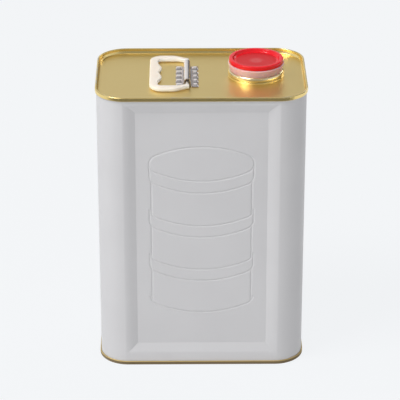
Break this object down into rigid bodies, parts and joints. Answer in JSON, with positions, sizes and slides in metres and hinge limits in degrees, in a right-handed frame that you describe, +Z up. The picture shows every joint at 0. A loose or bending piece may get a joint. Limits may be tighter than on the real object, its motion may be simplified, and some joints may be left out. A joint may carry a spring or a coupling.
{
  "type": "olive oil tin with spout",
  "caption": "Rectangular tinplate oil tin with pressed panels, gold lacquered ends, a fold-flat carrying handle, and a pull-up pouring spout under a red screw cap.",
  "frame": {"origin": "middle of the base, on the surface that the tin stands on", "axes": "+X to the right along the long side, +Y to the back, +Z up; the long front panel faces -Y"},
  "size_m": [0.17, 0.1094, 0.2508],
  "materials": {
    "white_enamel": "satin white enamel on tinplate",
    "gold_lacquer": "glossy gold lacquer on tinplate",
    "seam_compound": "matt dried sealing compound",
    "bare_tinplate": "bright tinplate",
    "white_plastic": "satin moulded polypropylene",
    "natural_polythene": "translucent natural polythene",
    "foam_wad": "fine foamed polythene",
    "red_plastic": "glossy moulded plastic"
  },
  "bodies": {
    "tin": {"body_wrapper": "white_enamel", "top_end": "gold_lacquer", "bottom_end": "gold_lacquer", "top_seam_compound": "seam_compound", "bottom_seam_compound": "seam_compound", "handle_clip": "bare_tinplate", "spout_collar": "natural_polythene", "spout_cone": "natural_polythene"},
    "handle": {"carry_handle": "white_plastic"},
    "spout": {"spout_nozzle": "natural_polythene", "nozzle_seal": "natural_polythene"},
    "wad": {"cap_wad": "foam_wad"},
    "cap": {"screw_cap": "red_plastic"}
  },
  "joints": [
    {"name": "handle_swing", "type": "hinge", "parent": "tin", "child": "handle", "pos_m": [-0.01135, 0, 0.23822], "axis": [0, 1, 0], "range_deg": [0, 180]},
    {"name": "spout_lift", "type": "slide", "parent": "tin", "child": "spout", "axis": [0, 0, 1], "range_m": [0, 0.03], "deforming": ["spout_cone"]},
    {"name": "cap_lift", "type": "slide", "parent": "spout", "child": "wad", "axis": [0, 0, 1], "range_m": [0, 0.0045]},
    {"name": "cap_turn", "type": "hinge", "parent": "wad", "child": "cap", "pos_m": [0.0446, 0.0052, 0.2474], "axis": [0, 0, 1], "range_deg": [0, 540]}
  ],
  "couplings": [
    {"joint": "cap_lift", "follows": "cap_turn", "m_per_rad": 0.000477}
  ]
}
